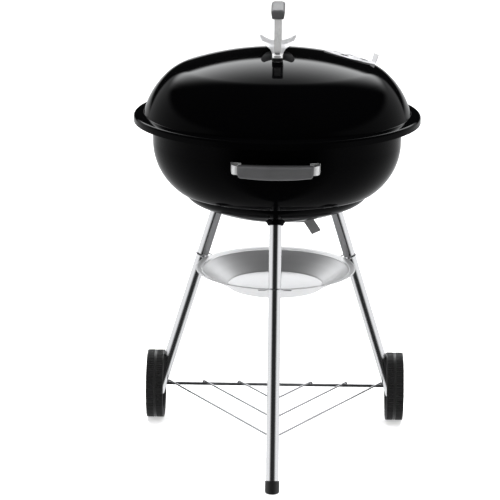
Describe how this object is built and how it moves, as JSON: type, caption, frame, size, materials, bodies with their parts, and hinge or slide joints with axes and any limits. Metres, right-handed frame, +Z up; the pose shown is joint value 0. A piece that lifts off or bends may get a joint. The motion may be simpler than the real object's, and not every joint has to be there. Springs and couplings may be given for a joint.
{
  "type": "kettle charcoal grill",
  "caption": "Kettle charcoal grill: round enamelled bowl and domed lid on a leaning tripod with two wheels, a wire shelf, an ash dish and turning air vents.",
  "frame": {"origin": "on the floor, in the middle of the footprint's bounding box; the kettle's vertical axis stands 14.0 mm behind it", "axes": "+Z up, -Y towards the front leg and front handle, +X towards the right wheel and the lid's vent"},
  "size_m": [0.585, 0.6224, 0.9305],
  "materials": {
    "black_enamel": "high gloss porcelain enamel",
    "bright_tube": "bright plated steel tube",
    "plated_steel": "dull zinc plating",
    "spring_wire": "bright spring wire",
    "handle_steel": "satin",
    "grate_steel": "plated wire",
    "aluminium_sheet": "satin spun aluminium",
    "grey_lever": "grey satin",
    "grey_nylon": "fine grained glass-filled nylon",
    "black_plastic": "satin",
    "wheel_plastic": "satin, ribbed tread"
  },
  "bodies": {
    "frame": {"bowl_shell": "black_enamel", "leg_front": "bright_tube", "leg_right": "bright_tube", "leg_left": "bright_tube", "leg_socket_front": "black_enamel", "leg_socket_right": "black_enamel", "leg_socket_left": "black_enamel", "foot_cap": "black_plastic", "axle": "plated_steel", "hub_cap_left": "black_plastic", "hub_cap_right": "black_plastic", "shelf_wire_outer": "plated_steel", "shelf_wire_middle": "plated_steel", "shelf_wire_inner": "plated_steel", "shelf_spine": "plated_steel", "ash_catcher": "aluminium_sheet", "ash_clip_front": "spring_wire", "ash_clip_right": "spring_wire", "ash_clip_left": "spring_wire", "side_strap_front": "handle_steel", "side_strap_rear": "handle_steel", "side_grip_front": "grey_nylon", "side_grip_rear": "grey_nylon", "handle_bracket_front": "black_enamel", "handle_bracket_rear": "black_enamel", "side_handle_bolts": "plated_steel"},
    "lid": {"lid_shell": "black_enamel", "damper_rivet": "aluminium_sheet", "lid_handle_strap": "handle_steel", "lid_handle_grip": "grey_nylon", "lid_handle_grip_insert": "black_plastic", "heat_shield": "aluminium_sheet", "handle_foot_front": "black_plastic", "handle_foot_rear": "black_plastic", "handle_washer_front": "handle_steel", "handle_washer_rear": "handle_steel", "lid_handle_bolts": "plated_steel"},
    "damper": {"damper_disc": "aluminium_sheet"},
    "bottom_vent": {"vent_blades": "aluminium_sheet", "vent_lever": "grey_lever", "vent_shaft": "plated_steel"},
    "wheel_left": {"wheel_left": "wheel_plastic"},
    "wheel_right": {"wheel_right": "wheel_plastic"},
    "cooking_grate": {"cooking_grate": "grate_steel"},
    "charcoal_grate": {"charcoal_grate": "grate_steel"}
  },
  "joints": [
    {"name": "lid_lift", "type": "slide", "parent": "frame", "child": "lid", "axis": [0, 0, 1], "range_m": [0, 0.4]},
    {"name": "cooking_grate_lift", "type": "slide", "parent": "frame", "child": "cooking_grate", "axis": [0, 0, 1], "range_m": [0, 0.22]},
    {"name": "charcoal_grate_lift", "type": "slide", "parent": "frame", "child": "charcoal_grate", "axis": [0, 0, 1], "range_m": [0, 0.16]},
    {"name": "damper_turn", "type": "hinge", "parent": "lid", "child": "damper", "pos_m": [0.14728, 0.07346, 0.81306], "axis": [0.2447, 0.0988, 0.9646], "continuous": true},
    {"name": "bottom_vent_turn", "type": "hinge", "parent": "frame", "child": "bottom_vent", "pos_m": [0, 0.01395, 0.4868], "axis": [0, 0, 1], "range_deg": [-40, 40]},
    {"name": "wheel_left_spin", "type": "hinge", "parent": "frame", "child": "wheel_left", "pos_m": [-0.258, 0.15687, 0.0734], "axis": [1, 0, 0], "continuous": true},
    {"name": "wheel_right_spin", "type": "hinge", "parent": "frame", "child": "wheel_right", "pos_m": [0.258, 0.15687, 0.0734], "axis": [1, 0, 0], "continuous": true}
  ],
  "couplings": [
    {"joint": "cooking_grate_lift", "follows": "lid_lift", "ratio": 0.55},
    {"joint": "charcoal_grate_lift", "follows": "lid_lift", "ratio": 0.4}
  ]
}
